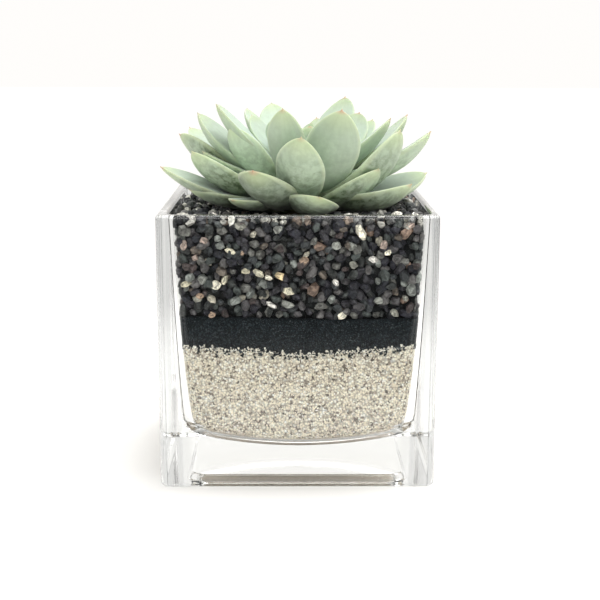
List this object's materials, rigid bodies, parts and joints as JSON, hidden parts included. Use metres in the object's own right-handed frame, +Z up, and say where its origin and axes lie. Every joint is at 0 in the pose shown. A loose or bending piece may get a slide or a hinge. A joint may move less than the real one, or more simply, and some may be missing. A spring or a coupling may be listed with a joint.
{
  "type": "glass plant terrarium",
  "caption": "Square thick-walled clear glass vase layered with tan sand, black sand and dark gravel, and planted with a rosette succulent.",
  "frame": {"origin": "in the plane that the vase stands on, under the middle of the vase", "axes": "+Z up, -Y towards the front of the vase, +X to its right"},
  "size_m": [0.1032, 0.1, 0.1377],
  "materials": {
    "clear_glass": "clear polished thick glass",
    "tan_sand": "coarse pale sand grains",
    "black_sand": "fine black sand",
    "gravel": "mixed dark gravel, rounded stones",
    "soil": "dark potting soil",
    "stem": "woody green stem",
    "leaf": "pale waxy bloom on fleshy leaves"
  },
  "bodies": {
    "root": {"glass_vase": "clear_glass", "tan_sand": "tan_sand", "black_sand": "black_sand", "gravel": "gravel", "root_ball": "soil", "stem": "stem", "heart": "leaf", "leaf_01": "leaf", "leaf_02": "leaf", "leaf_03": "leaf", "leaf_04": "leaf", "leaf_05": "leaf", "leaf_06": "leaf", "leaf_07": "leaf", "leaf_08": "leaf", "leaf_09": "leaf", "leaf_10": "leaf", "leaf_11": "leaf", "leaf_12": "leaf", "leaf_13": "leaf", "leaf_14": "leaf", "leaf_15": "leaf", "leaf_16": "leaf", "leaf_17": "leaf", "leaf_18": "leaf", "leaf_19": "leaf", "leaf_20": "leaf", "leaf_21": "leaf", "leaf_22": "leaf", "leaf_23": "leaf", "leaf_24": "leaf", "leaf_25": "leaf", "leaf_26": "leaf", "leaf_27": "leaf", "leaf_28": "leaf", "leaf_29": "leaf", "leaf_30": "leaf", "leaf_31": "leaf", "leaf_32": "leaf", "leaf_33": "leaf", "leaf_34": "leaf", "leaf_35": "leaf", "leaf_36": "leaf", "leaf_37": "leaf", "leaf_38": "leaf", "leaf_39": "leaf", "leaf_40": "leaf"}
  },
  "joints": []
}
